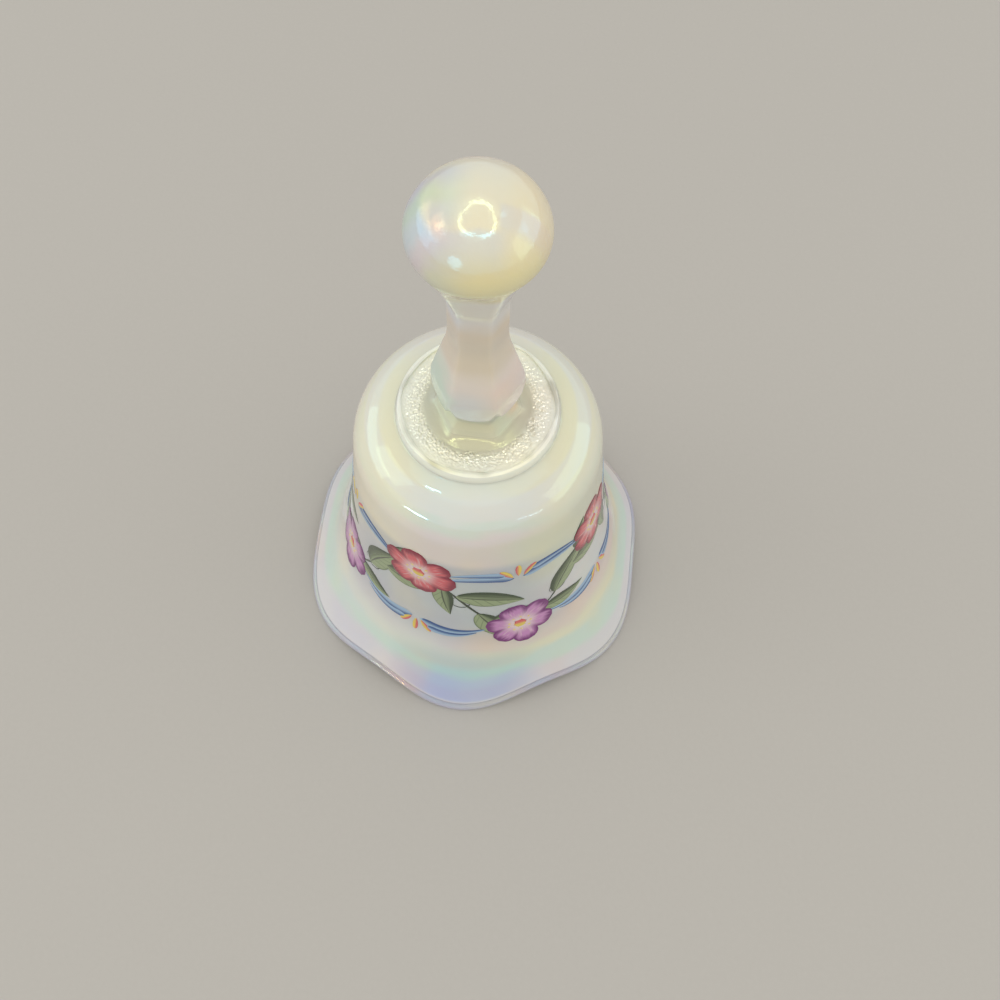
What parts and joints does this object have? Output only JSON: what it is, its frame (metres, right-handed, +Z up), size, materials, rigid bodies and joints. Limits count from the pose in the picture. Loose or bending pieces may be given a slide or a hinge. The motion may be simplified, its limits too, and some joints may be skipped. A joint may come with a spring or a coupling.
{
  "type": "glass table bell",
  "caption": "Opal glass table bell with a ruffled rim, a ball-topped panelled handle and a glass clapper on a wire chain.",
  "frame": {"origin": "on the bell's axis, at the level of the table that its rim stands on", "axes": "+Z up along the bell's axis to the knob; -Y towards the picture's camera, +X to its right"},
  "size_m": [0.1048, 0.1086, 0.17],
  "materials": {
    "opal_glass": "glossy opaque milk glass, creamy at the shoulder, with a pearly film and hand-painted enamel flowers",
    "pearl_glass": "glossy opaque milk glass with a pearly film, finely stippled on the disc",
    "clapper_glass": "glossy opaque milk glass",
    "white_cement": "matt off-white setting cement",
    "plated_wire": "bright plated wire, slightly dulled"
  },
  "bodies": {
    "bell": {"bell_body": "opal_glass", "handle": "pearl_glass", "crown_cement": "white_cement", "crown_eye": "plated_wire"},
    "link_1": {"chain_link_1": "plated_wire"},
    "link_2": {"chain_link_2": "plated_wire"},
    "link_3": {"chain_link_3": "plated_wire"},
    "link_4": {"chain_link_4": "plated_wire"},
    "link_5": {"chain_link_5": "plated_wire"},
    "clapper": {"clapper_pin": "plated_wire", "clapper_ball": "clapper_glass"}
  },
  "joints": [
    {"name": "eye_swing", "type": "hinge", "parent": "bell", "child": "link_1", "pos_m": [0, 0, 0.0785], "axis": [1, 0, 0], "range_deg": [-12, 12]},
    {"name": "link_2_swing", "type": "hinge", "parent": "link_1", "child": "link_2", "pos_m": [0, 0, 0.071], "axis": [0, 1, 0], "range_deg": [-12, 12]},
    {"name": "link_3_swing", "type": "hinge", "parent": "link_2", "child": "link_3", "pos_m": [0, 0, 0.0635], "axis": [1, 0, 0], "range_deg": [-12, 12]},
    {"name": "link_4_swing", "type": "hinge", "parent": "link_3", "child": "link_4", "pos_m": [0, 0, 0.056], "axis": [0, 1, 0], "range_deg": [-12, 12]},
    {"name": "link_5_swing", "type": "hinge", "parent": "link_4", "child": "link_5", "pos_m": [0, 0, 0.0485], "axis": [1, 0, 0], "range_deg": [-12, 12]},
    {"name": "clapper_swing", "type": "hinge", "parent": "link_5", "child": "clapper", "pos_m": [0, 0, 0.041], "axis": [0, 1, 0], "range_deg": [-12, 12]}
  ]
}
